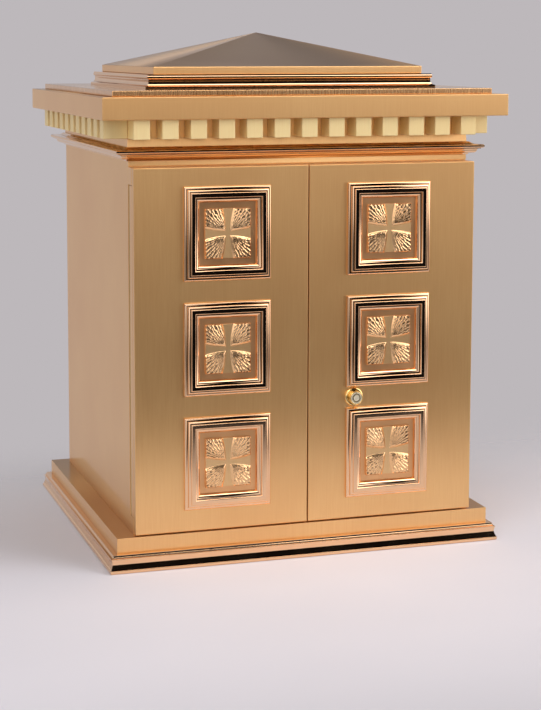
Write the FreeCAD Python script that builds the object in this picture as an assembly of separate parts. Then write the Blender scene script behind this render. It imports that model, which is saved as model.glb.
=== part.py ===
import FreeCAD, Part
import math
import os

# Tabernacle box: a free-standing bronze cabinet with a moulded plinth, two side-hung doors that carry
# six framed medallions, a dentilled cornice and a low hipped roof.
# Millimetres. +Z is up, the doors face -Y, and the origin is under the middle of the cabinet, on the
# surface that the base stands on.

V = FreeCAD.Vector
X_AXIS = V(1, 0, 0)
Y_AXIS = V(0, 1, 0)
Z_AXIS = V(0, 0, 1)

# ---- driving dimensions -------------------------------------------------------------------------------

# Cabinet box
CABINET_WIDTH = 400.0
CABINET_DEPTH = 336.0
PANEL = 3.0              # bronze sheet of the cabinet, cornice and roof
LINING = 6.0             # wooden lining boards

# Heights of each tier, from the altar surface up
BASE_MOULDING_TOP = 20.0
PLINTH_TOP = 37.0
DOOR_HEAD = 443.0
NECK_BOTTOM = 444.0
NECK_FLARE = 2.0         # the neck and the frieze foot both lean out a little
CROWN_BOTTOM = 449.5
FRIEZE_BOTTOM = 464.5
FLARE = 0.8
FLARE_TOP = 473.0
DENTIL_BOTTOM = 473.5
CORNICE_BOTTOM = 495.0
CORNICE_TOP = 519.5
STEP_TOP = 526.0
ROOF_MOULDING_TOP = 542.0
ROOF_EAVE = 550.5
ROOF_APEX = 590.0

# How far each tier stands out from the cabinet's sides
PLINTH_FRONT = 26.0
PLINTH_SIDE = 21.0
PLINTH_BACK = 14.0
CORNICE_OVERHANG = 36.0
STEP_OVERHANG = 22.0
ROOF_MOULDING_INSET = 30.0
ROOF_INSET = 39.0

# Dentils
FRONT_DENTILS = 13
SIDE_DENTILS = 11
DENTIL_WIDTH = 18.4
DENTIL_PROJECTION = 27.0

# Doors and the frame that they close on
DOOR_THICKNESS = 25.0
SKIN_DEPTH = 8.0         # folded front skin of a door
SKIN_SHEET = 3.0
SKIN_RETURN = 2.0
PAN_SHEET = 2.0
RAIL_HEIGHT = 19.0       # head and sill rails that the skins lap over
STILE_WIDTH = 20.0
FRAME_DEPTH = 8.0
SEAM_GAP = 1.2
DOOR_FOOT_GAP = 1.5
DOOR_SIDE_SLIT = 6.4     # slot in the cabinet's flank that holds the hinge knuckles
RAIL_GAP = 0.6

# Hinges
KNUCKLE_RADIUS = 2.2
KNUCKLES = 13
KNUCKLE_GAP = 0.3
HINGE_PIN_RADIUS = 1.05
HINGE_CLEARANCE = 0.05
LEAF = 1.0
LEAF_WIDTH = 15.0

# Medallions
MEDALLION_WIDTH = 100.0
MEDALLION_HEIGHT = 104.0
MEDALLION_BAR = 17.5
MEDALLION_RISE = 9.2
MEDALLION_X = 95.0
MEDALLION_MID_Z = 242.5
MEDALLION_PITCH = 127.6
PLAQUE_WIDTH = 52.0
PLAQUE_HEIGHT = 54.6
PLAQUE_BACKING = 1.5
PLAQUE_RISE = 5.6
CROSS_DEPTH = 2.2
CROSS_WAIST = 5.0
CROSS_END = 12.0

# Lock
LOCK_X = 55.0
LOCK_Z = 178.7
LOCK_RADIUS = 7.7
LOCK_PROJECTION = 9.0
PLUG_RADIUS = 6.4
PLUG_CLEARANCE = 0.05
ROSETTE_RADIUS = 11.0
CAM_REACH = 67.0
CAM_WIDTH = 14.0
CAM_THICKNESS = 2.0

# Door bolts on the left leaf
BOLT_RADIUS = 3.0
BOLT_CLEARANCE = 0.1
BOLT_X = -14.0
BOLT_THROW = 12.0
BOLT_LENGTH = 90.0

# Anchor holes in the base
ANCHOR_RADIUS = 4.5
ANCHOR_X_SPACING = 300.0
ANCHOR_Y_SPACING = 240.0
SLEEVE_RADIUS = 8.0
BASE_PLATE = 4.0

# ---- worked-out places --------------------------------------------------------------------------------

HALF_W = CABINET_WIDTH / 2
HALF_D = CABINET_DEPTH / 2
FRONT = -HALF_D                                  # plane of the cabinet's front
DOOR_FACE = FRONT - DOOR_THICKNESS
SKIN_BACK = DOOR_FACE + SKIN_DEPTH
PAN_BACK = FRONT - DOOR_SIDE_SLIT
DOOR_BOTTOM = PLINTH_TOP + DOOR_FOOT_GAP
SILL_TOP = PLINTH_TOP + RAIL_HEIGHT
HEAD_BOTTOM = DOOR_HEAD - RAIL_HEIGHT
PAN_BOTTOM = SILL_TOP + RAIL_GAP
PAN_TOP = HEAD_BOTTOM - RAIL_GAP
HINGE_X = HALF_W - KNUCKLE_RADIUS
HINGE_Y = FRONT - DOOR_SIDE_SLIT / 2
FLOOR_TOP = PLINTH_TOP + PANEL
PLINTH_HALF_X = HALF_W + PLINTH_SIDE
PLINTH_HALF_Y = HALF_D + (PLINTH_FRONT + PLINTH_BACK) / 2
PLINTH_Y = (PLINTH_BACK - PLINTH_FRONT) / 2      # the plinth stands forward of the cabinet
BOLT_Y = (SKIN_BACK + PAN_BACK - PAN_SHEET) / 2


# ---- shape helpers ------------------------------------------------------------------------------------

def block(x0, x1, y0, y1, z0, z1):
    """Box between two opposite corners."""
    return Part.makeBox(x1 - x0, y1 - y0, z1 - z0, V(x0, y0, z0))


def rod(radius, length, start, direction):
    """Cylinder from a start point along a direction."""
    return Part.makeCylinder(radius, length, start, direction)


def hexagon(across_flats, height, start, direction):
    """Hexagonal prism, as a nut, from a start point along a direction."""
    corner = across_flats / math.sqrt(3)
    points = [V(corner * math.cos(math.radians(60 * k)), corner * math.sin(math.radians(60 * k)), 0)
              for k in range(7)]
    prism = Part.Face(Part.makePolygon(points)).extrude(V(0, 0, height))
    prism.Placement = FreeCAD.Placement(start, FreeCAD.Rotation(Z_AXIS, direction))
    return prism


def profile_face(legs, place):
    """Closed face from a profile's legs. A leg is [end] for a straight line or [middle, end] for an arc."""
    edges = []
    last = legs[-1][-1]
    for leg in legs:
        if len(leg) == 1:
            edges.append(Part.LineSegment(place(*last), place(*leg[0])).toShape())
        else:
            edges.append(Part.Arc(place(*last), place(*leg[0]), place(*leg[1])).toShape())
        last = leg[-1]
    return Part.Face(Part.Wire(edges))


def mitred_lengths(legs, half_x, half_y, reach):
    """Four lengths of moulding round a rectangle, mitred at its corners.

    A profile point is (distance out from the rectangle, height)."""
    lengths = []
    for turn in range(4):
        long_half, across_half = (half_x, half_y) if turn % 2 == 0 else (half_y, half_x)
        outer_x = long_half + reach
        outer_y = across_half + reach
        face = profile_face(legs, lambda d, h: V(-outer_x, -(across_half + d), h))
        bar = face.extrude(V(2 * outer_x, 0, 0))
        low = bar.BoundBox.ZMin - 1
        sector = Part.Face(Part.makePolygon([
            V(-outer_x, -outer_y, low), V(outer_x, -outer_y, low),
            V(long_half - reach, -(across_half - reach), low),
            V(-(long_half - reach), -(across_half - reach), low),
            V(-outer_x, -outer_y, low)])).extrude(V(0, 0, bar.BoundBox.ZLength + 2))
        length = bar.common(sector)
        length.rotate(V(0, 0, 0), Z_AXIS, 90 * turn)
        lengths.append(length.Solids[0])
    return lengths


def rectangle_tray(half_x, half_y, z0, z1, wall, floor, open_top):
    """Shallow folded tray about the Z axis, open at its top or at its bottom."""
    outer = block(-half_x, half_x, -half_y, half_y, z0, z1)
    low, high = (z0 + floor, z1 + 1) if open_top else (z0 - 1, z1 - floor)
    return outer.cut(block(-half_x + wall, half_x - wall, -half_y + wall, half_y - wall, low, high))


def moved(shape, x, y, z):
    """Copy of a shape, shifted."""
    copy = shape.copy()
    copy.translate(V(x, y, z))
    return copy


def mirrored(shape):
    """Copy of a shape on the other side of the cabinet's centre plane."""
    return shape.mirror(V(0, 0, 0), X_AXIS)


def write(name, shapes):
    """Write one named piece, which may be a group of like solids."""
    shapes = shapes if isinstance(shapes, list) else [shapes]
    solids = [solid for shape in shapes for solid in shape.Solids]
    whole = solids[0] if len(solids) == 1 else Part.makeCompound(solids)
    if not all(solid.isValid() for solid in solids):
        print("not valid:", name)
    whole.exportStep("parts/" + name + ".step")


os.makedirs("parts", exist_ok=True)


# ---- base ---------------------------------------------------------------------------------------------

def anchor_points():
    """Centres of the four anchor holes."""
    return [(sx * ANCHOR_X_SPACING / 2, sy * ANCHOR_Y_SPACING / 2) for sx in (-1, 1) for sy in (-1, 1)]


def anchor_drilled(shape, radius=ANCHOR_RADIUS):
    """A flat piece with the four anchor holes through it."""
    for x, y in anchor_points():
        shape = shape.cut(rod(radius, 100, V(x, y, -20), Z_AXIS))
    return shape


def base_moulding():
    """Polished moulding round the foot: rounded heel, splay, undercut face, shelf, small bead and top splay."""
    legs = [
        [(-14, 0)], [(8.6, 0)], [(9.6, 0.8), (10, 2.0)], [(10, 3.2)], [(9.9, 3.7), (9.6, 3.9)],
        [(8.1, 6.9), (7.1, 10.5)], [(7.5, 13.1), (8.2, 15.7)], [(8.3, 16.2), (7.8, 16.4)], [(6.3, 16.7)],
        [(6.5, 17.3), (6.3, 17.9)], [(5.6, 18.8), (5.3, BASE_MOULDING_TOP)], [(-14, BASE_MOULDING_TOP)]]
    return [moved(length, 0, PLINTH_Y, 0) for length in mitred_lengths(legs, PLINTH_HALF_X, PLINTH_HALF_Y, 20)]


def plinth():
    """Satin band above the base moulding, folded as a tray with its top plate uppermost."""
    tray = rectangle_tray(PLINTH_HALF_X, PLINTH_HALF_Y, BASE_MOULDING_TOP, PLINTH_TOP, PANEL, PANEL, False)
    return anchor_drilled(moved(tray, 0, PLINTH_Y, 0))


def base_plate():
    """Bottom plate inside the base moulding. Anchor bolts pass through it into the altar."""
    half_x = PLINTH_HALF_X - 14
    half_y = PLINTH_HALF_Y - 14
    plate = block(-half_x, half_x, PLINTH_Y - half_y, PLINTH_Y + half_y, 0, BASE_PLATE)
    return anchor_drilled(plate)


def anchor_sleeves():
    """Tubes that keep the base from crushing when the anchor bolts are pulled down."""
    height = PLINTH_TOP - PANEL - BASE_PLATE
    return [rod(SLEEVE_RADIUS, height, V(x, y, BASE_PLATE), Z_AXIS).cut(
        rod(ANCHOR_RADIUS, height, V(x, y, BASE_PLATE), Z_AXIS)) for x, y in anchor_points()]


write("base_moulding", base_moulding())
write("plinth", plinth())
write("base_plate", base_plate())
write("anchor_sleeves", anchor_sleeves())


# ---- cabinet box --------------------------------------------------------------------------------------

def side_panel():
    """Left flank of the cabinet, a flat sheet from the plinth to the frieze."""
    return block(-HALF_W, -HALF_W + PANEL, FRONT, HALF_D, PLINTH_TOP, FRIEZE_BOTTOM)


def back_panel():
    """Back sheet, between the two flanks."""
    return block(-HALF_W + PANEL, HALF_W - PANEL, HALF_D - PANEL, HALF_D, PLINTH_TOP, FRIEZE_BOTTOM)


def cabinet_floor():
    """Floor sheet, which the anchor bolts' heads bear on through the lining."""
    sheet = block(-HALF_W + PANEL, HALF_W - PANEL, FRONT + FRAME_DEPTH, HALF_D - PANEL, PLINTH_TOP, FLOOR_TOP)
    return anchor_drilled(sheet)


def cabinet_ceiling():
    """Ceiling sheet, level with the head of the doors."""
    return block(-HALF_W + PANEL, HALF_W - PANEL, FRONT + FRAME_DEPTH, HALF_D - PANEL,
                 DOOR_HEAD, DOOR_HEAD + PANEL)


def bolt_hole(z0, z1):
    """Hole for a door bolt's tip in the head or sill rail."""
    return rod(BOLT_RADIUS + 0.5, z1 - z0, V(BOLT_X, BOLT_Y, z0), Z_AXIS)


def door_frame():
    """Brazed front frame: head and sill rails that the skins lap over, stiles for the hinges, and the
    plain neck above the doors."""
    rail_front = SKIN_BACK + RAIL_GAP
    inner = HALF_W - PANEL
    frame = block(-inner, inner, FRONT, FRONT + FRAME_DEPTH, PLINTH_TOP, FRIEZE_BOTTOM)
    frame = frame.cut(block(-inner + STILE_WIDTH, inner - STILE_WIDTH, FRONT - 1, FRONT + FRAME_DEPTH + 1,
                            SILL_TOP, HEAD_BOTTOM))
    frame = frame.fuse(block(-HALF_W, HALF_W, rail_front, FRONT, HEAD_BOTTOM, DOOR_HEAD))
    frame = frame.fuse(block(-HALF_W, HALF_W, rail_front, FRONT, PLINTH_TOP, SILL_TOP))
    neck = Part.Face(Part.makePolygon([
        V(-HALF_W, FRONT, NECK_BOTTOM), V(-HALF_W, FRONT - NECK_FLARE, NECK_BOTTOM),
        V(-HALF_W, FRONT - NECK_FLARE / 2, CROWN_BOTTOM), V(-HALF_W, FRONT, CROWN_BOTTOM),
        V(-HALF_W, FRONT, NECK_BOTTOM)])).extrude(V(CABINET_WIDTH, 0, 0))
    frame = frame.fuse(neck)
    frame = frame.cut(bolt_hole(HEAD_BOTTOM - 1, HEAD_BOTTOM + BOLT_THROW + 2))
    frame = frame.cut(bolt_hole(SILL_TOP - BOLT_THROW - 2, SILL_TOP + 1))
    return frame.removeSplitter()


def lining_side():
    """Left lining board."""
    return block(-HALF_W + PANEL, -HALF_W + PANEL + LINING, FRONT + FRAME_DEPTH, HALF_D - PANEL,
                 FLOOR_TOP, DOOR_HEAD)


def lining_back():
    """Back lining board, between the side boards."""
    half = HALF_W - PANEL - LINING
    return block(-half, half, HALF_D - PANEL - LINING, HALF_D - PANEL, FLOOR_TOP, DOOR_HEAD)


def lining_floor():
    """Floor lining board, drilled for the anchor bolts."""
    half = HALF_W - PANEL - LINING
    board = block(-half, half, FRONT + FRAME_DEPTH, HALF_D - PANEL - LINING, FLOOR_TOP, FLOOR_TOP + LINING)
    return anchor_drilled(board)


write("left_side_panel", side_panel())
write("right_side_panel", mirrored(side_panel()))
write("back_panel", back_panel())
write("cabinet_floor", cabinet_floor())
write("cabinet_ceiling", cabinet_ceiling())
write("door_frame", door_frame())
write("lining_sides", [lining_side(), mirrored(lining_side())])
write("lining_back", lining_back())
write("lining_floor", lining_floor())


# ---- crown, cornice and roof --------------------------------------------------------------------------

def crown_moulding():
    """Polished moulding under the frieze: fillets, cyma, torus and a cove back to the frieze."""
    z = CROWN_BOTTOM
    top = FRIEZE_BOTTOM
    legs = [
        [(0, z)], [(1.8, z)], [(2.6, z + 1.8)], [(4.2, z + 2.2)],
        [(8.4, z + 2.9), (9.8, z + 4.9)], [(10.8, z + 6.8), (13.4, z + 7.2)], [(13.7, z + 8.2)],
        [(16.5, z + 10.2), (13.7, z + 12.2)], [(12.2, z + 12.2)], [(7.0, z + 12.6), (3.4, top - 0.4)],
        [(2.8, top)], [(0, top)]]
    return mitred_lengths(legs, HALF_W, HALF_D, 24)


def frieze():
    """Band behind the dentils, four plates brazed at the corners, with a flared foot on the crown."""
    band = block(-HALF_W, HALF_W, -HALF_D, HALF_D, FRIEZE_BOTTOM, CORNICE_BOTTOM)
    inner_x = HALF_W - 4
    inner_y = HALF_D - 4
    band = band.cut(block(-inner_x, inner_x, -inner_y, inner_y, FRIEZE_BOTTOM - 1, CORNICE_BOTTOM + 1))
    flare = mitred_lengths([
        [(-1, FRIEZE_BOTTOM)], [(FLARE, FRIEZE_BOTTOM)], [(FLARE, FRIEZE_BOTTOM + 0.3)],
        [(0.2, FLARE_TOP)], [(-1, FLARE_TOP)]], HALF_W, HALF_D, 8)
    return band.fuse(flare).removeSplitter()


def dentil_row(count, length, plane):
    """Evenly spaced blocks along X, standing out from a frieze plane that faces -Y."""
    pitch = (length - DENTIL_WIDTH) / (count - 1)
    starts = [-length / 2 + k * pitch for k in range(count)]
    return [block(x, x + DENTIL_WIDTH, -plane - DENTIL_PROJECTION, -plane, DENTIL_BOTTOM, CORNICE_BOTTOM)
            for x in starts]


def turned(shapes, degrees):
    """Copies of shapes, turned about the Z axis."""
    copies = [shape.copy() for shape in shapes]
    for copy in copies:
        copy.rotate(V(0, 0, 0), Z_AXIS, degrees)
    return copies


def cornice():
    """Wide satin fascia with its soffit and top, open underneath inside the frieze."""
    half_x = HALF_W + CORNICE_OVERHANG
    half_y = HALF_D + CORNICE_OVERHANG
    shell = block(-half_x, half_x, -half_y, half_y, CORNICE_BOTTOM, CORNICE_TOP)
    shell = shell.cut(block(-half_x + PANEL, half_x - PANEL, -half_y + PANEL, half_y - PANEL,
                            CORNICE_BOTTOM + PANEL, CORNICE_TOP - PANEL))
    open_x = HALF_W - 15
    open_y = HALF_D - 15
    return shell.cut(block(-open_x, open_x, -open_y, open_y, CORNICE_BOTTOM - 1, CORNICE_BOTTOM + PANEL + 1))


def step_plate():
    """Low step on the cornice that carries the roof moulding."""
    return rectangle_tray(HALF_W + STEP_OVERHANG, HALF_D + STEP_OVERHANG, CORNICE_TOP, STEP_TOP,
                          PANEL, PANEL, False)


def roof_moulding():
    """Polished moulding under the roof: foot fillet, cove, waist and top lip."""
    z = STEP_TOP
    top = ROOF_MOULDING_TOP
    legs = [
        [(-18, z)], [(3, z)], [(3, z + 2.8)], [(2.4, z + 3.2)], [(-0.6, z + 5), (-1, z + 9.6)],
        [(-1.6, z + 9.8)], [(-1.6, z + 10.8)], [(0.2, z + 12.4), (-0.4, z + 14.6)],
        [(-0.4, top)], [(-18, top)]]
    return mitred_lengths(legs, HALF_W - ROOF_MOULDING_INSET, HALF_D - ROOF_MOULDING_INSET, 24)


def hipped_prism(half_x, half_y, eave, apex):
    """Upright skirt with four slopes that meet in a point."""
    base = Part.makePolygon([V(-half_x, -half_y, eave), V(half_x, -half_y, eave), V(half_x, half_y, eave),
                             V(-half_x, half_y, eave), V(-half_x, -half_y, eave)])
    return Part.makeLoft([base, Part.Vertex(0, 0, apex)], True, True)


def roof():
    """Hollow hipped roof with an upright eave band, folded from sheet."""
    half_x = HALF_W - ROOF_INSET
    half_y = HALF_D - ROOF_INSET
    eave_band = block(-half_x, half_x, -half_y, half_y, ROOF_MOULDING_TOP, ROOF_EAVE)
    outside = eave_band.fuse(hipped_prism(half_x, half_y, ROOF_EAVE, ROOF_APEX))
    hollow = block(-half_x + PANEL, half_x - PANEL, -half_y + PANEL, half_y - PANEL,
                   ROOF_MOULDING_TOP - 1, ROOF_EAVE - PANEL)
    hollow = hollow.fuse(hipped_prism(half_x - PANEL, half_y - PANEL, ROOF_EAVE - PANEL, ROOF_APEX - 2 * PANEL))
    return outside.cut(hollow).removeSplitter()


write("crown_moulding", crown_moulding())
write("frieze", frieze())
write("dentils_front", dentil_row(FRONT_DENTILS, CABINET_WIDTH, HALF_D))
write("dentils_back", turned(dentil_row(FRONT_DENTILS, CABINET_WIDTH, HALF_D), 180))
write("dentils_left", turned(dentil_row(SIDE_DENTILS, CABINET_DEPTH, HALF_W), -90))
write("dentils_right", turned(dentil_row(SIDE_DENTILS, CABINET_DEPTH, HALF_W), 90))
write("cornice", cornice())
write("step_plate", step_plate())
write("roof_moulding", roof_moulding())
write("roof", roof())


# ---- doors --------------------------------------------------------------------------------------------

def medallion_heights():
    """Heights of the three medallions' centres."""
    return [MEDALLION_MID_Z + k * MEDALLION_PITCH for k in (1, 0, -1)]


def stud_points(side):
    """Places of the medallion studs on one door, at two opposite corners of each frame."""
    reach_x = MEDALLION_WIDTH / 2 - MEDALLION_BAR / 2
    reach_z = MEDALLION_HEIGHT / 2 - MEDALLION_BAR / 2
    return [(side * MEDALLION_X + s * reach_x, z + s * reach_z) for z in medallion_heights() for s in (-1, 1)]


STUD_RADIUS = 2.0


def door_skin(side):
    """Folded front skin of one door, drilled for the medallion studs, and for the lock on the right."""
    inner = SEAM_GAP / 2
    x0, x1 = (-HALF_W, -inner) if side < 0 else (inner, HALF_W)
    skin = block(x0, x1, DOOR_FACE, SKIN_BACK, DOOR_BOTTOM, DOOR_HEAD)
    skin = skin.cut(block(x0 + SKIN_RETURN, x1 - SKIN_RETURN, DOOR_FACE + SKIN_SHEET, SKIN_BACK + 1,
                          DOOR_BOTTOM + SKIN_RETURN, DOOR_HEAD - SKIN_RETURN))
    for x, z in stud_points(side):
        skin = skin.cut(rod(STUD_RADIUS, 20, V(x, DOOR_FACE - 5, z), Y_AXIS))
    if side > 0:
        skin = skin.cut(rod(LOCK_RADIUS, 20, V(LOCK_X, DOOR_FACE - 5, LOCK_Z), Y_AXIS))
    return skin


def bolt_slot(centre_z):
    """Slot in the left pan's back for a bolt's thumb knob."""
    radius = 2.3
    half = BOLT_THROW / 2
    slot = block(BOLT_X - radius, BOLT_X + radius, PAN_BACK - 10, PAN_BACK + 5, centre_z - half, centre_z + half)
    for end in (-half, half):
        slot = slot.fuse(rod(radius, 15, V(BOLT_X, PAN_BACK - 10, centre_z + end), Y_AXIS))
    return slot


UPPER_KNOB_Z = PAN_TOP - 60.0
LOWER_KNOB_Z = PAN_BOTTOM + 60.0


def door_pan(side):
    """Inner pan that stiffens one door and carries its hinge, folded from sheet."""
    inner = SEAM_GAP / 2
    x0, x1 = (-HALF_W, -inner) if side < 0 else (inner, HALF_W)
    pan = block(x0, x1, SKIN_BACK, PAN_BACK, PAN_BOTTOM, PAN_TOP)
    pan = pan.cut(block(x0 + PAN_SHEET, x1 - PAN_SHEET, SKIN_BACK - 1, PAN_BACK - PAN_SHEET,
                        PAN_BOTTOM + PAN_SHEET, PAN_TOP - PAN_SHEET))
    if side < 0:
        bolt_way = rod(BOLT_RADIUS + BOLT_CLEARANCE, PAN_TOP - PAN_BOTTOM + 2,
                       V(BOLT_X, BOLT_Y, PAN_BOTTOM - 1), Z_AXIS)
        pan = pan.cut(bolt_way)
        pan = pan.cut(bolt_slot(UPPER_KNOB_Z + BOLT_THROW / 2))
        pan = pan.cut(bolt_slot(LOWER_KNOB_Z - BOLT_THROW / 2))
    else:
        pan = pan.cut(rod(LOCK_RADIUS, 20, V(LOCK_X, SKIN_BACK, LOCK_Z), Y_AXIS))
    return pan


def medallion_studs(side):
    """Threaded studs soldered to the medallion frames, each with its nut behind the skin."""
    fastenings = []
    for x, z in stud_points(side):
        fastenings.append(rod(STUD_RADIUS, SKIN_SHEET + 7, V(x, DOOR_FACE, z), Y_AXIS))
        nut_face = V(x, DOOR_FACE + SKIN_SHEET, z)
        nut = hexagon(7.0, 3.2, nut_face, Y_AXIS)
        fastenings.append(nut.cut(rod(STUD_RADIUS, 10, nut_face, Y_AXIS)))
    return fastenings


for door_name, side in (("left", -1), ("right", 1)):
    write(door_name + "_door_skin", door_skin(side))
    write(door_name + "_door_pan", door_pan(side))
    write(door_name + "_medallion_studs", medallion_studs(side))


# ---- medallions ---------------------------------------------------------------------------------------

def upright(shape, x, z):
    """A piece modelled lying flat, stood up against the door's face at one medallion's place."""
    shape = shape.copy()
    shape.rotate(V(0, 0, 0), X_AXIS, 90)
    shape.translate(V(x, DOOR_FACE, z))
    return shape


def medallion_frame():
    """Polished square frame: two ovolos, a flat band with rounded edges, and a cove down to the sight."""
    rise = MEDALLION_RISE
    legs = [
        [(-MEDALLION_BAR, 0)], [(0, 0)], [(0, 1.6)], [(-0.8, 3.5), (-2.9, 4.3)], [(-3.5, 4.4)],
        [(-3.6, 5.2)], [(-4.3, 6.7), (-6.2, 7.3)], [(-6.7, 7.4)], [(-6.8, rise - 1.0)],
        [(-7.1, rise - 0.3), (-7.9, rise)], [(-11.0, rise)],
        [(-11.9, rise - 0.3), (-12.3, rise - 1.1)], [(-12.5, 6.9)], [(-13.4, 6.9)],
        [(-15.6, 5.8), (-MEDALLION_BAR, 3.0)]]
    lengths = mitred_lengths(legs, MEDALLION_WIDTH / 2, MEDALLION_HEIGHT / 2, MEDALLION_BAR + 2)
    return lengths[0].fuse(lengths[1:]).removeSplitter()


def cross_arm(length, waist, end):
    """One arm of a cross with splayed, hollowed sides, along +X."""
    legs = [
        [(0, -waist)], [(length * 0.62, -waist - 0.6), (length, -end)], [(length, end)],
        [(length * 0.62, waist + 0.6), (0, waist)]]
    return profile_face(legs, lambda x, y: V(x, y, 0))


def medallion_plaque():
    """Backing plate with a raised square plaque. A splayed cross is sunk between its four raised fields."""
    half_x = MEDALLION_WIDTH / 2 - MEDALLION_BAR
    half_z = MEDALLION_HEIGHT / 2 - MEDALLION_BAR
    plate = block(-half_x, half_x, -half_z, half_z, 0, PLAQUE_BACKING)
    raised = block(-PLAQUE_WIDTH / 2, PLAQUE_WIDTH / 2, -PLAQUE_HEIGHT / 2, PLAQUE_HEIGHT / 2, 0, PLAQUE_RISE)
    plaque = plate.fuse(raised)
    for turn in range(4):
        length = (PLAQUE_WIDTH if turn % 2 == 0 else PLAQUE_HEIGHT) / 2 + 1
        arm = cross_arm(length, CROSS_WAIST / 2, CROSS_END / 2).extrude(V(0, 0, PLAQUE_RISE))
        arm.rotate(V(0, 0, 0), Z_AXIS, 90 * turn)
        plaque = plaque.cut(moved(arm, 0, 0, PLAQUE_RISE - CROSS_DEPTH))
    return plaque.removeSplitter()


for door_name, side in (("left", -1), ("right", 1)):
    for place, height in zip(("top", "middle", "bottom"), medallion_heights()):
        write("medallion_frame_" + door_name + "_" + place, upright(medallion_frame(), side * MEDALLION_X, height))
        write("medallion_plaque_" + door_name + "_" + place, upright(medallion_plaque(), side * MEDALLION_X, height))


# ---- hinges -------------------------------------------------------------------------------------------

HINGE_BOTTOM = SILL_TOP + 1.0
HINGE_TOP = HEAD_BOTTOM - 1.0


def hinge_leaf(on_door):
    """Left continuous hinge: one leaf with every second knuckle."""
    sign = -1 if on_door else 1
    seat = PAN_BACK if on_door else FRONT
    y0, y1 = sorted((seat, seat - sign * LEAF))
    pitch = (HINGE_TOP - HINGE_BOTTOM) / KNUCKLES
    leaf = block(-HINGE_X + 3, -HINGE_X + LEAF_WIDTH, y0, y1, HINGE_BOTTOM, HINGE_TOP)
    for k in range(1 if on_door else 0, KNUCKLES, 2):
        z0 = HINGE_BOTTOM + k * pitch + KNUCKLE_GAP / 2
        height = pitch - KNUCKLE_GAP
        web_y0, web_y1 = sorted((HINGE_Y + sign * 1.3, seat))
        knuckle = rod(KNUCKLE_RADIUS, height, V(-HINGE_X, HINGE_Y, z0), Z_AXIS)
        knuckle = knuckle.fuse(block(-HINGE_X, -HINGE_X + 2, web_y0, web_y1, z0, z0 + height))
        knuckle = knuckle.fuse(block(-HINGE_X, -HINGE_X + 4, y0, y1, z0, z0 + height))
        leaf = leaf.fuse(knuckle)
    bore = HINGE_PIN_RADIUS + (HINGE_CLEARANCE if on_door else 0)
    leaf = leaf.cut(rod(bore, HINGE_TOP - HINGE_BOTTOM + 2, V(-HINGE_X, HINGE_Y, HINGE_BOTTOM - 1), Z_AXIS))
    return leaf.removeSplitter()


def hinge_pin():
    """Full-length pin of the left hinge."""
    return rod(HINGE_PIN_RADIUS, HINGE_TOP - HINGE_BOTTOM, V(-HINGE_X, HINGE_Y, HINGE_BOTTOM), Z_AXIS)


def hinge_screws(on_door):
    """Countersunk screws of the left hinge, seen as thin flush heads on the leaf."""
    seat = PAN_BACK + LEAF if on_door else FRONT - LEAF
    outward = Y_AXIS if on_door else V(0, -1, 0)
    x = -HINGE_X + LEAF_WIDTH - 5
    step = (HINGE_TOP - HINGE_BOTTOM) / 6
    return [rod(2.6, 0.8, V(x, seat, HINGE_BOTTOM + (k + 0.5) * step), outward) for k in range(6)]


for hinge_name, put in (("left", lambda shape: shape), ("right", mirrored)):
    write(hinge_name + "_hinge_frame_leaf", put(hinge_leaf(False)))
    write(hinge_name + "_hinge_door_leaf", put(hinge_leaf(True)))
    write(hinge_name + "_hinge_pin", put(hinge_pin()))
    write(hinge_name + "_hinge_door_screws", [put(screw) for screw in hinge_screws(True)])
write("hinge_frame_screws", hinge_screws(False) + [mirrored(screw) for screw in hinge_screws(False)])


# ---- lock ---------------------------------------------------------------------------------------------

LOCK_FACE = DOOR_FACE - LOCK_PROJECTION
CAM_FRONT = PAN_BACK + 2.0


def lock_rosette():
    """Turned washer that covers the edge of the lock's hole."""
    disc = rod(ROSETTE_RADIUS, 2.0, V(LOCK_X, DOOR_FACE - 2.0, LOCK_Z), Y_AXIS)
    return disc.cut(rod(LOCK_RADIUS, 10, V(LOCK_X, DOOR_FACE - 5, LOCK_Z), Y_AXIS))


def lock_body():
    """Tubular housing, bored for the plug."""
    length = CAM_FRONT - LOCK_FACE - 0.5
    body = rod(LOCK_RADIUS, length, V(LOCK_X, LOCK_FACE, LOCK_Z), Y_AXIS)
    return body.cut(rod(PLUG_RADIUS, length + 2, V(LOCK_X, LOCK_FACE - 1, LOCK_Z), Y_AXIS))


def lock_plug():
    """Turning plug with a ring keyway round a centre post, and a square drive for the cam."""
    start = LOCK_FACE + 0.4
    plug = rod(PLUG_RADIUS - PLUG_CLEARANCE, CAM_FRONT - start, V(LOCK_X, start, LOCK_Z), Y_AXIS)
    keyway = rod(5.0, 7.0, V(LOCK_X, start - 1, LOCK_Z), Y_AXIS).cut(
        rod(3.6, 7.0, V(LOCK_X, start - 1, LOCK_Z), Y_AXIS))
    notch = block(LOCK_X - 0.7, LOCK_X + 0.7, start - 1, start + 3, LOCK_Z + 4.6, LOCK_Z + 5.9)
    drive = block(LOCK_X - 3.5, LOCK_X + 3.5, CAM_FRONT, CAM_FRONT + CAM_THICKNESS, LOCK_Z - 3.5, LOCK_Z + 3.5)
    return plug.cut(keyway).cut(notch).fuse(drive)


def lock_nut():
    """Ring nut that draws the housing tight from inside the pan."""
    start = V(LOCK_X, DOOR_FACE + SKIN_SHEET, LOCK_Z)
    nut = hexagon(22.0, 4.0, start, Y_AXIS)
    return nut.cut(rod(LOCK_RADIUS, 10, start, Y_AXIS))


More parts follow.
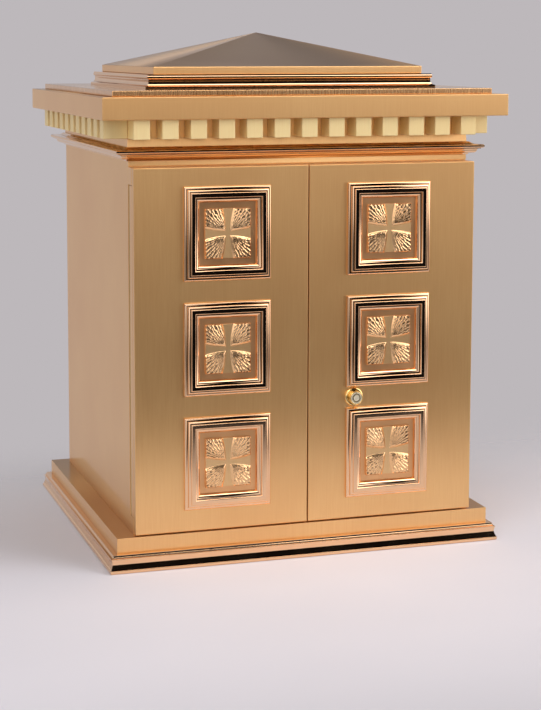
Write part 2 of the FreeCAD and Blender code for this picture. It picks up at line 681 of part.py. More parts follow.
def lock_cam():
    """Long cam that hangs down when the lock is open and reaches behind the left door when it is shut."""
    y0 = CAM_FRONT
    cam = block(LOCK_X - CAM_WIDTH / 2, LOCK_X + CAM_WIDTH / 2, y0, y0 + CAM_THICKNESS,
                LOCK_Z - CAM_REACH, LOCK_Z)
    cam = cam.fuse(rod(CAM_WIDTH / 2, CAM_THICKNESS, V(LOCK_X, y0, LOCK_Z), Y_AXIS))
    return cam.cut(block(LOCK_X - 3.5, LOCK_X + 3.5, y0 - 1, y0 + CAM_THICKNESS + 1, LOCK_Z - 3.5, LOCK_Z + 3.5))


def lock_cam_screw():
    """Screw that holds the cam on the plug's square."""
    return rod(5.0, 1.4, V(LOCK_X, CAM_FRONT + CAM_THICKNESS, LOCK_Z), Y_AXIS)


write("lock_rosette", lock_rosette())
write("lock_body", lock_body())
write("lock_plug", lock_plug())
write("lock_nut", lock_nut())
write("lock_cam", lock_cam())
write("lock_cam_screw", lock_cam_screw())


# ---- bolts of the left door ---------------------------------------------------------------------------

def door_bolt(tip_z, away, knob_z):
    """Round bolt with a thumb knob that stands out through the pan's slot."""
    bolt = rod(BOLT_RADIUS, BOLT_LENGTH, V(BOLT_X, BOLT_Y, tip_z), away)
    stem = rod(2.0, PAN_BACK - BOLT_Y + 1.0, V(BOLT_X, BOLT_Y, knob_z), Y_AXIS)
    knob = rod(4.0, 3.2, V(BOLT_X, PAN_BACK + 0.4, knob_z), Y_AXIS)
    return bolt.fuse([stem, knob]).removeSplitter()


def bolt_guides():
    """Bored blocks soldered inside the pan, two for each bolt."""
    guides = []
    for knob_z in (UPPER_KNOB_Z, LOWER_KNOB_Z):
        for offset in (-24, 24):
            z = knob_z + offset
            guide = block(BOLT_X - 7, BOLT_X + 7, BOLT_Y - 4.2, PAN_BACK - PAN_SHEET, z - 3, z + 3)
            guides.append(guide.cut(rod(BOLT_RADIUS + BOLT_CLEARANCE, 20, V(BOLT_X, BOLT_Y, z - 10), Z_AXIS)))
    return guides


write("upper_bolt", door_bolt(PAN_TOP - 0.5, V(0, 0, -1), UPPER_KNOB_Z))
write("lower_bolt", door_bolt(PAN_BOTTOM + 0.5, Z_AXIS, LOWER_KNOB_Z))
write("bolt_guides", bolt_guides())
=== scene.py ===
import math

import bmesh
import bpy
from mathutils import Matrix, Vector, noise


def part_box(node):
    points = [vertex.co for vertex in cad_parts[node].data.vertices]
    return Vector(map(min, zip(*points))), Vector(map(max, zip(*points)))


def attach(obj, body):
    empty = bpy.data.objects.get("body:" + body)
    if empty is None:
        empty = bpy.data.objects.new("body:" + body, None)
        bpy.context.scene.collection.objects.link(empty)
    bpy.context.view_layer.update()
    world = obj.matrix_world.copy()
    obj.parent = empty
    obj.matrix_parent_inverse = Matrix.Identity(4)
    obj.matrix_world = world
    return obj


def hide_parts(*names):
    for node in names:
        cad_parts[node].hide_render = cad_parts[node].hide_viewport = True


# Tabernacle box: a bronze cabinet for an altar, on a moulded base, with two doors of framed cross
# medallions, a dentilled cornice and a low hipped roof. Metres, +Z up, the doors face -Y.

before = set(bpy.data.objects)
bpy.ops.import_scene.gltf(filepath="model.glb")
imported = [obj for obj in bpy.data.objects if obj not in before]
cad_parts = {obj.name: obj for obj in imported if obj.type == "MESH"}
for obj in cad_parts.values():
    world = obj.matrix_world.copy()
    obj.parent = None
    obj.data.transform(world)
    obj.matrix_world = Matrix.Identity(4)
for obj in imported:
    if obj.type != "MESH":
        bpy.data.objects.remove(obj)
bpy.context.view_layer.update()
MM = 0.001


# ---- base moulding ------------------------------------------------------------------------------------
# Four lengths of drawn bronze bar, mitred and brazed at the corners, then buffed to a mirror. From the
# foot up: a rounded heel, a splay, an undercut face, a shelf, a small bead and a splay to the plinth.

def linear(hex_colour):
    """Linear colour of an sRGB hex value."""
    parts = [int(hex_colour[k:k + 2], 16) / 255 for k in (1, 3, 5)]
    return [c / 12.92 if c <= 0.04045 else ((c + 0.055) / 1.055) ** 2.4 for c in parts] + [1.0]


def add(material, kind, inputs=None, **settings):
    """Adds a node, sets it up, and fills its inputs with values or with other nodes' outputs."""
    tree = material.node_tree
    made = tree.nodes.new(kind)
    for name, value in settings.items():
        setattr(made, name, value)
    for name, value in (inputs or {}).items():
        if isinstance(value, bpy.types.NodeSocket):
            tree.links.new(value, made.inputs[name])
        else:
            made.inputs[name].default_value = value
    return made


def finish(name):
    """An empty material and its Object coordinates."""
    material = bpy.data.materials.new(name)
    material.use_nodes = True
    material.node_tree.nodes.clear()
    return material, add(material, "ShaderNodeTexCoord").outputs["Object"]


def ranged(material, value, low, high, start=0.0, end=1.0, **settings):
    """A value between two limits, moved to run from start to end."""
    levels = {"Value": value, "From Min": low, "From Max": high, "To Min": start, "To Max": end}
    return add(material, "ShaderNodeMapRange", levels, **settings).outputs[0]


def combined(material, operation, first, second):
    """Two values put through a maths operation."""
    return add(material, "ShaderNodeMath", {0: first, 1: second}, operation=operation).outputs[0]


def tinted(material, factor, deep_colour, colour):
    """A colour between two, chosen by a factor."""
    return add(material, "ShaderNodeMix", {0: factor, 6: linear(deep_colour), 7: linear(colour)},
               data_type="RGBA").outputs[2]


def coat_with(material, surface):
    """Makes a shader the material's surface."""
    add(material, "ShaderNodeOutputMaterial", {"Surface": surface.outputs[0]})


def buffed_metal(name, colour, deep_colour, roughness, haze):
    """High polish: nearly a mirror, with hazy patches where the mop passed and faint hairlines."""
    material, place = finish(name)
    patches = add(material, "ShaderNodeTexNoise", {"Vector": place, "Scale": 1 / (28 * MM), "Detail": 3.0})
    hairlines = add(material, "ShaderNodeTexNoise", {"Vector": place, "Scale": 1 / (1.5 * MM), "Detail": 4.0})
    relief = add(material, "ShaderNodeBump", {
        "Height": hairlines.outputs["Fac"], "Strength": 0.02, "Distance": 0.05 * MM})
    metal = add(material, "ShaderNodeBsdfPrincipled", {
        "Base Color": tinted(material, patches.outputs["Fac"], deep_colour, colour), "Metallic": 1.0,
        "Roughness": ranged(material, patches.outputs["Fac"], 0.3, 0.7, roughness, roughness + haze),
        "Normal": relief.outputs[0]})
    coat_with(material, metal)
    return material


# Mirror-polished bronze: bright gold-pink edges with near-black bands between them.
polished_bronze = buffed_metal("polished_bronze", "#FAD2A8", "#F2C498", 0.05, 0.05)


def arc(start, middle, end, steps):
    """Points along the circle through three points, after the first."""
    (ax, ay), (bx, by), (cx, cy) = start, middle, end
    d = 2 * (ax * (by - cy) + bx * (cy - ay) + cx * (ay - by))
    a2, b2, c2 = ax * ax + ay * ay, bx * bx + by * by, cx * cx + cy * cy
    ox = (a2 * (by - cy) + b2 * (cy - ay) + c2 * (ay - by)) / d
    oy = (a2 * (cx - bx) + b2 * (ax - cx) + c2 * (bx - ax)) / d
    first, through, last = (math.atan2(y - oy, x - ox) for x, y in (start, middle, end))
    turn = (last - first) % math.tau
    if (through - first) % math.tau > turn:
        turn -= math.tau
    radius = math.hypot(ax - ox, ay - oy)
    angles = [first + turn * k / steps for k in range(1, steps + 1)]
    return [(ox + radius * math.cos(angle), oy + radius * math.sin(angle)) for angle in angles]


def outline(legs, steps=8):
    """Profile points from legs: [end] is a straight line and [middle, end] an arc."""
    points, last = [], legs[-1][-1]
    for leg in legs:
        points += [leg[0]] if len(leg) == 1 else arc(last, leg[0], leg[1], steps)
        last = leg[-1]
    return points


def mitred(legs, half_x, half_y):
    """A moulding round a rectangle: its profile, (distance out, height) in mm, is spun in four steps,
    which leaves mitred corners, and the square is then drawn in to the rectangle."""
    mesh = bmesh.new()
    size = max(half_x, half_y)
    corner = [mesh.verts.new((size + d, size + d, h)) for d, h in outline(legs)]
    edges = [mesh.edges.new(pair) for pair in zip(corner, corner[1:] + corner[:1])]
    bmesh.ops.spin(mesh, geom=corner + edges, cent=(0, 0, 0), axis=(0, 0, 1), angle=math.tau, steps=4,
                   use_merge=True)
    for vert in mesh.verts:
        vert.co.x += math.copysign(1, vert.co.x) * (half_x - size)
        vert.co.y += math.copysign(1, vert.co.y) * (half_y - size)
    bmesh.ops.scale(mesh, vec=(MM, MM, MM), verts=mesh.verts)
    return mesh


SHARPEST_SMOOTH = math.radians(34)
WELD = 0.002 * MM


def fitted(name, mesh, material, slot, body, *nodes):
    """A bmesh made into a piece that rides on its body and stands for its CAD nodes."""
    bmesh.ops.remove_doubles(mesh, verts=mesh.verts, dist=WELD)
    bmesh.ops.recalc_face_normals(mesh, faces=mesh.faces)
    for face in mesh.faces:
        face.smooth = True
    data = bpy.data.meshes.new(name)
    mesh.to_mesh(data)
    mesh.free()
    data.set_sharp_from_angle(angle=SHARPEST_SMOOTH)
    data.materials.append(material)
    piece = bpy.data.objects.new(name, data)
    bpy.context.scene.collection.objects.link(piece)
    piece.modifiers.new("flat_faces_stay_flat", "WEIGHTED_NORMAL").keep_sharp = True
    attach(piece, body)
    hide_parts(*nodes)
    return piece


plinth_low, plinth_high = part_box("plinth")
plinth_centre = (plinth_low + plinth_high) / 2
plinth_half = (plinth_high - plinth_low) / 2 / MM

base = mitred([
    [(-14, 0)], [(8.6, 0)], [(9.6, 0.8), (10, 2.0)], [(10, 3.2)], [(9.9, 3.7), (9.6, 3.9)],
    [(8.1, 6.9), (7.1, 10.5)], [(7.5, 13.1), (8.2, 15.7)], [(8.3, 16.2), (7.8, 16.4)], [(6.3, 16.7)],
    [(6.5, 17.3), (6.3, 17.9)], [(5.6, 18.8), (5.3, 20)], [(-14, 20)]],
    plinth_half.x, plinth_half.y)
bmesh.ops.translate(base, vec=(0, plinth_centre.y, 0), verts=base.verts)
fitted("mitred_base_moulding", base, polished_bronze, "polished_bronze", "cabinet", "base_moulding")


# ---- plinth and cabinet sheets ------------------------------------------------------------------------
# Brazed bronze sheet, 3 mm thick: flat flanks and back, and a folded tray for the plinth. The outside is
# satined with a fine upright grain, then lacquered, so it glows softly and smears reflections.

def satin_metal(name, colour, deep_colour, roughness, smear, coat):
    """Satin metal: upright grain, drawn coarser than the real lines so that it shows, under lacquer."""
    material, place = finish(name)
    upright = add(material, "ShaderNodeMapping", {"Vector": place, "Scale": (1.0, 1.0, 0.02)})
    grain = add(material, "ShaderNodeTexNoise", {
        "Vector": upright.outputs[0], "Scale": 1 / (0.8 * MM), "Detail": 5.0, "Roughness": 0.6})
    cloud = add(material, "ShaderNodeTexNoise", {"Vector": place, "Scale": 1 / (120 * MM), "Detail": 2.0})
    blend = combined(material, "MULTIPLY", grain.outputs["Fac"], cloud.outputs["Fac"])
    relief = add(material, "ShaderNodeBump", {
        "Height": grain.outputs["Fac"], "Strength": 0.03, "Distance": 0.02 * MM})
    across = add(material, "ShaderNodeTangent", direction_type="RADIAL", axis="Z")
    metal = add(material, "ShaderNodeBsdfPrincipled", {
        "Base Color": tinted(material, ranged(material, blend, 0.12, 0.38), deep_colour, colour),
        "Metallic": 1.0,
        "Roughness": ranged(material, grain.outputs["Fac"], 0.3, 0.7, roughness - 0.02, roughness + 0.03),
        "Anisotropic": smear, "Tangent": across.outputs[0], "Coat Weight": coat, "Coat Roughness": 0.1,
        "Normal": relief.outputs[0]})
    coat_with(material, metal)
    return material


# Satin bronze: a soft gold-brown glow with a faint upright grain and a thin wet-looking lacquer.
satin_bronze = satin_metal("satin_bronze", "#F8C887", "#F1BC7C", 0.34, 0.8, 0.5)


def sheet_box(low, high, bend, segments=3):
    """A box between two corners, its edges rounded by the sheet's bend."""
    mesh = bmesh.new()
    bmesh.ops.create_cube(mesh, size=1)
    bmesh.ops.scale(mesh, vec=high - low, verts=mesh.verts)
    bmesh.ops.translate(mesh, vec=(low + high) / 2, verts=mesh.verts)
    bmesh.ops.bevel(mesh, geom=mesh.edges, offset=bend, offset_type="OFFSET", segments=segments,
                    profile=0.5, affect="EDGES", clamp_overlap=True, material=-1)
    return mesh


HARD_EDGE = math.radians(40)
FLAT_ENOUGH = math.radians(1)


def softened(node, width, segments=2):
    """A CAD node's own shape with its flat faces joined up and its hard edges eased."""
    mesh = bmesh.new()
    mesh.from_mesh(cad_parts[node].data)
    bmesh.ops.remove_doubles(mesh, verts=mesh.verts, dist=0.005 * MM)
    bmesh.ops.dissolve_limit(mesh, angle_limit=FLAT_ENOUGH, verts=mesh.verts, edges=mesh.edges)
    hard = [edge for edge in mesh.edges if len(edge.link_faces) == 2 and edge.calc_face_angle() > HARD_EDGE]
    bmesh.ops.bevel(mesh, geom=hard, offset=width, offset_type="OFFSET", segments=segments,
                    profile=0.5, affect="EDGES", clamp_overlap=True, material=-1)
    return mesh


FOLD = 0.9 * MM
SHEET_EDGE = 0.35 * MM
INNER_EDGE = 0.25 * MM

fitted("folded_plinth", softened("plinth", FOLD, 3), satin_bronze, "satin_bronze", "cabinet", "plinth")
for node in ("left_side_panel", "right_side_panel", "back_panel"):
    low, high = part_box(node)
    fitted(node + "_sheet", sheet_box(low, high, SHEET_EDGE), satin_bronze, "satin_bronze", "cabinet", node)
for node in ("cabinet_floor", "cabinet_ceiling", "base_plate", "door_frame"):
    fitted(node + "_sheet", softened(node, INNER_EDGE), satin_bronze, "satin_bronze", "cabinet", node)


# ---- crown moulding -----------------------------------------------------------------------------------
# Drawn and polished like the base. Tilted fillets and a cyma swell out to a torus, and a cove returns to
# the frieze. It is brazed to the cabinet above the doors.

CABINET_HALF_X = 200
CABINET_HALF_Y = 168

crown_low, crown_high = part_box("crown_moulding")
foot = crown_low.z / MM
head = crown_high.z / MM
fitted("mitred_crown_moulding", mitred([
    [(0, foot)], [(1.8, foot)], [(2.6, foot + 1.8)], [(4.2, foot + 2.2)],
    [(8.4, foot + 2.9), (9.8, foot + 4.9)], [(10.8, foot + 6.8), (13.4, foot + 7.2)],
    [(13.7, foot + 8.2)], [(16.5, foot + 10.2), (13.7, foot + 12.2)], [(12.2, foot + 12.2)],
    [(7.0, foot + 12.6), (3.4, head - 0.4)], [(2.8, head)], [(0, head)]],
    CABINET_HALF_X, CABINET_HALF_Y), polished_bronze, "polished_bronze", "cabinet", "crown_moulding")


# ---- frieze and dentils -------------------------------------------------------------------------------
# A satin band whose foot leans out a little, with solid milled blocks brazed to it, evenly spaced. The
# blocks are a paler brass, satined on their faces, with their edges eased on a fine stone.

DENTIL_WIDTH = 18.4 * MM
DENTIL_EDGE = 0.7 * MM

fitted("frieze_band", softened("frieze", 0.4 * MM), satin_bronze, "satin_bronze", "cabinet", "frieze")
# Pale satin brass: a matt straw colour that stays light where the bronze round it goes brown.
dentil_bronze = satin_metal("dentil_bronze", "#FFEDB6", "#FCE3A8", 0.6, 0.5, 0.2)


def joined(parts):
    """Several bmeshes as one."""
    whole = bmesh.new()
    for part in parts:
        moved = bpy.data.meshes.new("part")
        part.to_mesh(moved)
        part.free()
        whole.from_mesh(moved)
        bpy.data.meshes.remove(moved)
    return whole


for side, count in (("front", 13), ("back", 13), ("left", 11), ("right", 11)):
    low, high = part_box("dentils_" + side)
    along = 0 if side in ("front", "back") else 1
    pitch = (high[along] - low[along] - DENTIL_WIDTH) / (count - 1)
    blocks = []
    for k in range(count):
        start = low.copy()
        start[along] += k * pitch
        end = high.copy()
        end[along] = start[along] + DENTIL_WIDTH
        blocks.append(sheet_box(start, end, DENTIL_EDGE))
    fitted("dentil_row_" + side, joined(blocks), dentil_bronze, "dentil_bronze", "cabinet", "dentils_" + side)


# ---- cornice and step ---------------------------------------------------------------------------------
# The fascia is one wide box of satin sheet, folded to a small radius and brazed at its corners. A shallow
# tray on top makes the step that the roof moulding stands on.

# Bronze rubbed brighter than the satin sheets, so the step's top mirrors a little.
rubbed_bronze = satin_metal("rubbed_bronze", "#EFC08A", "#E6B27A", 0.26, 0.6, 0.6)
for node, metal in (("cornice", satin_bronze), ("step_plate", rubbed_bronze)):
    fitted("folded_" + node, softened(node, FOLD, 3), metal, "satin_bronze", "cabinet", node)


# ---- roof moulding and roof ---------------------------------------------------------------------------
# The moulding is drawn bar, polished: a foot fillet, a deep cove and a thumb lip. The roof is folded from
# one satin sheet, with its hips brazed and dressed to a soft edge.

ROOF_INSET = 30
HIP_EDGE = 0.8 * MM

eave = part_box("roof_moulding")[0].z / MM
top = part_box("roof_moulding")[1].z / MM
fitted("mitred_roof_moulding", mitred([
    [(-18, eave)], [(3, eave)], [(3, eave + 2.8)], [(2.4, eave + 3.2)],
    [(-0.6, eave + 5), (-1, eave + 9.6)],
    [(-1.6, eave + 9.8)], [(-1.6, eave + 10.8)], [(0.2, eave + 12.4), (-0.4, eave + 14.6)],
    [(-0.4, top)], [(-18, top)]], CABINET_HALF_X - ROOF_INSET, CABINET_HALF_Y - ROOF_INSET),
    polished_bronze, "polished_bronze", "cabinet", "roof_moulding")
fitted("folded_roof", softened("roof", HIP_EDGE, 3), satin_bronze, "satin_bronze", "cabinet", "roof")


# ---- wooden lining ------------------------------------------------------------------------------------
# Oiled cedar boards, 6 mm thick, lie loose against the sheets inside. The grain runs up the side and back
# boards. On the floor board it shows only as an even fleck.

def oiled_cedar(name, turn):
    """Cedar: red-brown growth lines about 3 mm apart, fine pores, and a low oil sheen."""
    material, place = finish(name)
    lay = add(material, "ShaderNodeMapping", {"Vector": place, "Rotation": turn, "Scale": (1.0, 1.0, 0.06)})
    rings = add(material, "ShaderNodeTexWave", {
        "Vector": lay.outputs[0], "Scale": 1 / (20 * MM), "Distortion": 6.0, "Detail": 3.0,
        "Detail Scale": 1.2}, bands_direction="X")
    pores = add(material, "ShaderNodeTexNoise", {
        "Vector": lay.outputs[0], "Scale": 1 / (0.5 * MM), "Detail": 3.0})
    figure = combined(material, "MULTIPLY", rings.outputs["Fac"], pores.outputs["Fac"])
    relief = add(material, "ShaderNodeBump", {
        "Height": pores.outputs["Fac"], "Strength": 0.08, "Distance": 0.1 * MM})
    wood = add(material, "ShaderNodeBsdfPrincipled", {
        "Base Color": tinted(material, figure, "#6E3F22", "#A9693C"), "Roughness": 0.42,
        "Coat Weight": 0.15, "Coat Roughness": 0.3, "Normal": relief.outputs[0]})
    coat_with(material, wood)
    return material


BOARD_EDGE = 0.4 * MM
upright_cedar = oiled_cedar("oiled_cedar_upright", (0, 0, 0))
level_cedar = oiled_cedar("oiled_cedar_level", (0, math.radians(90), 0))
for node, cedar in (
        ("lining_sides", upright_cedar), ("lining_back", upright_cedar), ("lining_floor", level_cedar)):
    fitted(node + "_boards", softened(node, BOARD_EDGE), cedar, "lining_wood", "cabinet", node)


# ---- doors --------------------------------------------------------------------------------------------
# Each door is a folded front skin of 3 mm satin bronze, 8 mm deep over its returned edges, stiffened by an
# inner pan that also carries the hinge. The skin laps over the sill and head rails. Its bores for the lock
# and studs aren't cut here, so the lock's plug runs through the front.

SKIN_BEND = 1.0 * MM
SKIN_EDGE = 1.2 * MM
SKIN_HOLLOW = 5 * MM
PAN_EDGE = 0.4 * MM

for side in ("left", "right"):
    low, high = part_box(side + "_door_skin")
    skin = sheet_box(low, high, SKIN_BEND)
    skin.faces.ensure_lookup_table()
    back = [max(skin.faces, key=lambda face: face.calc_center_median().y)]
    bmesh.ops.inset_region(skin, faces=back, thickness=SKIN_EDGE)
    pushed = bmesh.ops.extrude_discrete_faces(skin, faces=back)["faces"][0]
    bmesh.ops.translate(skin, vec=(0, -SKIN_HOLLOW, 0), verts=pushed.verts)
    door = side + "_door"
    fitted(door + "_front", skin, satin_bronze, "satin_bronze", door, door + "_skin")
    pan = softened(door + "_pan", PAN_EDGE)
    fitted(door + "_inner_pan", pan, satin_bronze, "satin_bronze", door, door + "_pan")


# ---- medallions ---------------------------------------------------------------------------------------
# Six polished square frames, mitred from drawn bar, hold struck and gilt plaques. Each plaque has a satin
# cross sunk between four swelling fields, which are cut with rays that run out from the cross.

BAR = 17.5
RISE = 9.2
BACKING = 1.5
CROSS_PLANE = 3.4
FIELD_RISE = 2.2
PLAQUE_HALF = (26.0, 27.3)

RAY_STEPS = 56
RAYS = 25.0
RAY_RELIEF = 0.34
CROSS_HALF_WAIST = 2.5
CROSS_SPLAY = 3.5

# Gilt fields: bright gold, sparkling where the rays turn to the light.
gilt_bronze = buffed_metal("gilt_bronze", "#FAD2A0", "#EDB880", 0.2, 0.06)
# The ground round the plaque: a softer brown gold.
gilt_ground = buffed_metal("gilt_ground", "#F6C08A", "#EAB078", 0.3, 0.06)
# The cross: gilt, satined to an even glow.
satin_gilt = satin_metal("satin_gilt", "#F5CC94", "#F0C48A", 0.36, 0.8, 0.3)


def cross_side(reach, full):
    """Half width of a cross arm at a distance from the middle: 2.5 mm at the waist, splayed to 6 mm."""
    return CROSS_HALF_WAIST + CROSS_SPLAY * (max(reach, 0) / full) ** 2.1


def ray_field(sign_x, sign_z):
    """One quarter of a plaque: a swelling field between two arms of the cross, cut with rays."""
    field = bmesh.new()
    bmesh.ops.create_grid(field, x_segments=RAY_STEPS, y_segments=RAY_STEPS, size=0.5)
    wide, high = PLAQUE_HALF
    for vert in field.verts:
        s, t = vert.co.x + 0.5, vert.co.y + 0.5
        x, z = wide * s, high * t
        for _ in range(8):
            side_x, side_z = cross_side(z, high), cross_side(x, wide)
            x, z = side_x + (wide - side_x) * s, side_z + (high - side_z) * t
        flank = min(min(s, t) / 0.11, 1.0)
        edge = min(min(1 - s, 1 - t) / 0.03, 1.0)
        angle = math.atan2(z - 1.0, x - 1.0)
        reach = math.hypot(x, z) / wide
        wobble = noise.noise(Vector((x * 0.35, z * 0.35, sign_x + 2 * sign_z)))
        ray = abs(math.sin(angle * RAYS + 1.1 * wobble)) ** 0.8
        swell = math.sin(math.pi * min(s, 1)) * math.sin(math.pi * min(t, 1))
        rise = FIELD_RISE * (0.62 + 0.38 * edge) * flank ** 0.8 * (0.7 + 0.12 * swell)
        rise += RAY_RELIEF * ray * flank ** 2 * edge * min(0.25 + reach, 1.2) + 0.12 * wobble * flank
        vert.co = Vector((sign_x * x, CROSS_PLANE + max(rise, 0.0), sign_z * z))
    rim = [edge for edge in field.edges if len(edge.link_faces) == 1]
    skirt = bmesh.ops.extrude_edge_only(field, edges=rim)["geom"]
    for vert in skirt:
        if isinstance(vert, bmesh.types.BMVert):
            vert.co.y = CROSS_PLANE - 0.5
    foot = [edge for edge in field.edges if len(edge.link_faces) == 1]
    bmesh.ops.holes_fill(field, edges=foot, sides=0)
    bmesh.ops.recalc_face_normals(field, faces=field.faces)
    return field


door_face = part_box("left_door_skin")[0].y
stand_up = Matrix.Rotation(math.radians(90), 4, "X")
for side in ("left", "right"):
    for place in ("top", "middle", "bottom"):
        tail = "_" + side + "_" + place
        low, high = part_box("medallion_frame" + tail)
        centre = Vector(((low.x + high.x) / 2, door_face, (low.z + high.z) / 2))
        half = (high - low) / 2 / MM
        surround = mitred([
            [(-BAR, 0)], [(0, 0)], [(0, 1.6)], [(-0.8, 3.5), (-2.9, 4.3)], [(-3.5, 4.4)],
            [(-3.6, 5.2)], [(-4.3, 6.7), (-6.2, 7.3)], [(-6.7, 7.4)], [(-6.8, RISE - 1.0)],
            [(-7.1, RISE - 0.3), (-7.9, RISE)], [(-11.0, RISE)],
            [(-11.9, RISE - 0.3), (-12.3, RISE - 1.1)], [(-12.5, 6.9)], [(-13.4, 6.9)],
            [(-15.6, 5.8), (-BAR, 3.0)]], half.x, half.z)
        bmesh.ops.transform(
            surround, matrix=Matrix.Translation(centre) @ stand_up, verts=surround.verts)
        fitted("polished_frame" + tail, surround, polished_bronze, "polished_bronze", side + "_door",
               "medallion_frame" + tail)

        wide, tall = PLAQUE_HALF
        backing = sheet_box(Vector((-(half.x - BAR), -BACKING, -(half.z - BAR))),
                            Vector((half.x - BAR, 0, half.z - BAR)), 0.1)
        slab = sheet_box(Vector((-wide, -CROSS_PLANE, -tall)), Vector((wide, 0, tall)), 0.3)
        for face in backing.faces:
            face.material_index = 2
        plaque = joined([backing, slab])
        fields = joined([ray_field(sx, sz) for sx in (-1, 1) for sz in (-1, 1)])
        for face in fields.faces:
            face.material_index = 1
        bmesh.ops.scale(fields, vec=(1, -1, 1), verts=fields.verts)
        plaque = joined([plaque, fields])
        bmesh.ops.scale(plaque, vec=(MM, MM, MM), verts=plaque.verts)
        bmesh.ops.translate(plaque, vec=centre, verts=plaque.verts)
        struck = fitted("struck_plaque" + tail, plaque, satin_gilt, "gilt_bronze", side + "_door",
                        "medallion_plaque" + tail)
        struck.data.materials.append(gilt_bronze)
        struck.data.materials.append(gilt_ground)


# ---- lock ---------------------------------------------------------------------------------------------
# A tubular cam lock in the right door: a turned and polished brass rosette and housing, and a nickelled
# plug with a ring keyway. Inside, a hexagon nut holds it and a long nickelled cam hangs from it.

PLUG_BORE = 6.4
HOUSING = 7.7
WASHER = 2

# Polished brass: a yellower mirror than the bronze.
lock_brass = buffed_metal("lock_brass", "#F2D391", "#E2BC75", 0.1, 0.05)
# Worn nickel plate: soft warm silver.
nickel_plate = buffed_metal("nickel_plate", "#F0E8CE", "#DDD3B4", 0.42, 0.06)


def turned_piece(profile, centre):
    """A turned ring: a closed profile of (radius, depth) in mm, spun round the lock's axis."""
    mesh = bmesh.new()
    rim = [mesh.verts.new((r * MM, y * MM, 0)) for r, y in outline(profile, 4)]
    edges = [mesh.edges.new(pair) for pair in zip(rim, rim[1:] + rim[:1])]
    bmesh.ops.spin(mesh, geom=rim + edges, cent=(0, 0, 0), axis=(0, 1, 0), angle=math.tau, steps=64,
                   use_merge=True)
    bmesh.ops.translate(mesh, vec=centre, verts=mesh.verts)
    return mesh


low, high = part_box("lock_body")
lock_axis = Vector(((low.x + high.x) / 2, low.y, (low.z + high.z) / 2))
body_length = (high.y - low.y) / MM
washer_front = (door_face - low.y) / MM - WASHER
washer_back = washer_front + WASHER
fitted("turned_lock_housing", turned_piece([
    [(PLUG_BORE, body_length)], [(PLUG_BORE, 0.5)], [(6.5, 0.1), (6.9, 0)],
    [(7.5, 0.2), (HOUSING, 0.7)], [(HOUSING, body_length)]],
    lock_axis), lock_brass, "lock_brass", "right_door", "lock_body")
fitted("turned_lock_rosette", turned_piece([
    [(HOUSING, washer_back)], [(HOUSING, washer_front + 0.3)], [(7.9, washer_front), (8.4, washer_front)],
    [(10.4, washer_front + 0.4), (11, washer_front + 1.4)], [(11, washer_back)]],
    lock_axis), lock_brass, "lock_brass", "right_door", "lock_rosette")


def refinish(material, *nodes):
    """Gives CAD nodes, shown in their own shape, a better material."""
    for node in nodes:
        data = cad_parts[node].data
        data.materials.clear()
        data.materials.append(material)


def bright_steel(name):
    """Zinc-plated steel: pale blue-grey, with the spangle and dull patches of a plating bath."""
    material, place = finish(name)
    spangle = add(material, "ShaderNodeTexVoronoi", {"Vector": place, "Scale": 1 / (2.5 * MM)})
    spread = spangle.outputs["Distance"]
    metal = add(material, "ShaderNodeBsdfPrincipled", {
        "Base Color": tinted(material, spread, "#A9ADB2", "#C6C8CA"), "Metallic": 1.0,
        "Roughness": ranged(material, spread, 0.0, 1.0, 0.28, 0.42)})
    coat_with(material, metal)
    return material


plain_steel = bright_steel("zinc_plated_steel")
refinish(nickel_plate, "lock_plug", "lock_cam")
refinish(plain_steel, "lock_nut", "lock_cam_screw", "anchor_sleeves")


# ---- medallion studs, hinges and bolts ----------------------------------------------------------------
# Steel studs and nuts hold the medallions from behind. A continuous brass hinge lies in the slit of each
# flank. Two turned brass bolts in the left door drop into the sill and rise into the head rail.

# Hinge brass: rolled strip with a dull satin skin. Bolt brass: the same metal, worn smooth by hand.
hinge_brass = satin_metal("hinge_brass", "#D9B677", "#C8A264", 0.28, 0.4, 0.0)
bolt_brass = buffed_metal("bolt_brass", "#E3C283", "#D0AB69", 0.18, 0.08)
for side in ("left", "right"):
    refinish(hinge_brass, side + "_hinge_frame_leaf", side + "_hinge_door_leaf")
    refinish(plain_steel, side + "_hinge_pin", side + "_hinge_door_screws", side + "_medallion_studs")
refinish(plain_steel, "hinge_frame_screws")
refinish(bolt_brass, "upper_bolt", "lower_bolt", "bolt_guides")


# ---- floor, light and camera --------------------------------------------------------------------------
# A pale table in a grey room, under three softboxes. In front of the box stand a dim pale screen on the
# left and a bright one on the right. The mouldings' front faces mirror the dark gap between them.

table = bmesh.new()
bmesh.ops.create_circle(table, cap_ends=True, radius=4.0, segments=96)
bmesh.ops.translate(table, vec=(0, 0, -0.05 * MM), verts=table.verts)
table_data = bpy.data.meshes.new("studio_floor")
table.to_mesh(table_data)
table.free()
studio_floor = bpy.data.objects.new("studio_floor", table_data)
bpy.context.scene.collection.objects.link(studio_floor)

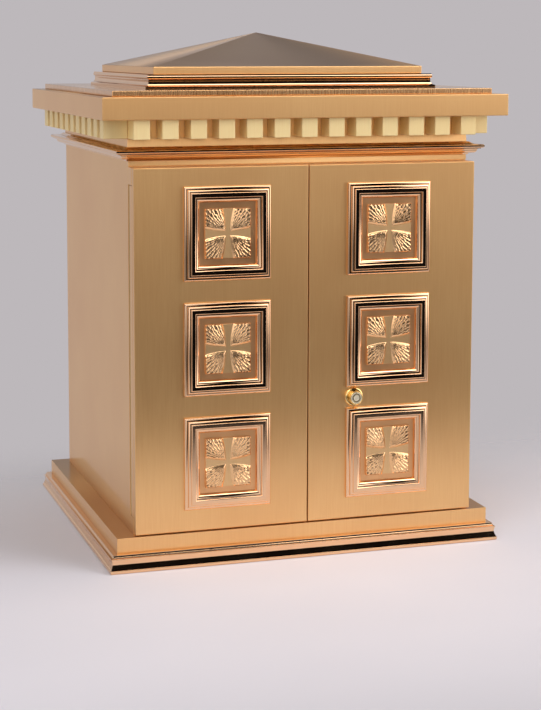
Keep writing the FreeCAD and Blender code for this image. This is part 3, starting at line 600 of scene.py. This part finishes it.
# Matt paint, faded out in front and behind so that the table has no edge.
matt_white, spot = finish("matt_white_table")
where = add(matt_white, "ShaderNodeSeparateXYZ", {"Vector": spot}).outputs["Y"]
front_fade = ranged(matt_white, where, -0.95, -0.45, interpolation_type="SMOOTHSTEP")
back_fade = ranged(matt_white, where, -0.2, 0.5, 1.0, 0.0, interpolation_type="SMOOTHSTEP")
cover = combined(matt_white, "MULTIPLY", front_fade, back_fade)
cloth_noise = add(matt_white, "ShaderNodeTexNoise", {"Vector": spot, "Scale": 3.0, "Detail": 2.0})
paper = add(matt_white, "ShaderNodeBsdfPrincipled", {
    "Base Color": tinted(matt_white, cloth_noise.outputs["Fac"], "#DEDCE2", "#E6E4EA"), "Roughness": 0.9})
clear = add(matt_white, "ShaderNodeBsdfTransparent")
coat_with(matt_white, add(matt_white, "ShaderNodeMixShader", {
    0: cover, 1: clear.outputs[0], 2: paper.outputs[0]}))
table_data.materials.append(matt_white)

world = bpy.data.worlds.new("studio")
world.use_nodes = True
world.node_tree.nodes.clear()
bpy.context.scene.world = world
direction = add(world, "ShaderNodeTexCoord").outputs["Generated"]
aim = add(world, "ShaderNodeSeparateXYZ", {"Vector": direction})


def room(axis, low, high, start=0.0, end=1.0):
    """A level that changes smoothly between two directions along an axis."""
    return ranged(world, aim.outputs[axis], low, high, start, end, interpolation_type="SMOOTHSTEP")


wall = combined(world, "MULTIPLY", room("Y", -0.15, 0.35), room("Z", 0.1, 0.68, 1.0, 0.05))
left_screen = room("X", 0.02, 0.18, 0.5, 0.0)
right_screen = room("X", 0.46, 0.64, 0.0, 1.25)
screens = combined(world, "ADD", left_screen, right_screen)
lit_from_above = combined(world, "MULTIPLY", screens, room("Z", -0.2, 0.12, 0.7, 5.2))
in_front = combined(world, "MULTIPLY", room("Y", -0.4, -0.1, 1.0, 0.0), room("Z", 0.45, 0.9, 1.0, 0.05))
sheets = combined(world, "MULTIPLY", lit_from_above, in_front)
brightness = combined(world, "ADD", combined(world, "ADD", wall, sheets), 0.01)
room_light = add(world, "ShaderNodeBackground", {"Color": linear("#C0BCBF"), "Strength": brightness})
plain_light = add(world, "ShaderNodeBackground", {"Color": linear("#BDB8BB"), "Strength": 1.0})
path = add(world, "ShaderNodeLightPath")
seen = add(world, "ShaderNodeMixShader", {
    0: path.outputs["Is Camera Ray"], 1: room_light.outputs[0], 2: plain_light.outputs[0]})
add(world, "ShaderNodeOutputWorld", {"Surface": seen.outputs[0]})


def soft_light(name, place, target, width, height, power, colour):
    """A rectangular softbox aimed at a point."""
    lamp = bpy.data.lights.new(name, "AREA")
    lamp.shape = "RECTANGLE"
    lamp.size = width
    lamp.size_y = height
    lamp.energy = power
    lamp.color = linear(colour)[:3]
    box = bpy.data.objects.new(name, lamp)
    box.location = place
    box.rotation_euler = (Vector(target) - Vector(place)).to_track_quat("-Z", "Y").to_euler()
    bpy.context.scene.collection.objects.link(box)


soft_light("softbox_right", (1.5, -0.9, 1.9), (0, 0, 0.2), 1.4, 1.4, 9, "#FFFDFC")
soft_light("softbox_left", (-1.0, -1.5, 1.8), (0, 0, 0.3), 1.2, 0.9, 12, "#FFFDFC")
soft_light("softbox_top", (0.3, -0.5, 2.2), (0.3, -0.5, 0), 1.6, 1.2, 19, "#FFFDFC")

lens = bpy.data.cameras.new("camera")
lens.sensor_width = 36
lens.lens = 86.03
lens.shift_x = 0.0555
lens.shift_y = -0.1665
camera = bpy.data.objects.new("camera", lens)
azimuth, dip = math.radians(16.98), math.radians(6.38)
forward = Vector((math.sin(azimuth) * math.cos(dip), math.cos(azimuth) * math.cos(dip), -math.sin(dip)))
camera.location = (-0.6302, -1.9608, 0.5724)
camera.rotation_euler = forward.to_track_quat("-Z", "Y").to_euler()
bpy.context.scene.collection.objects.link(camera)
bpy.context.scene.camera = camera
bpy.context.scene.view_settings.view_transform = "Standard"
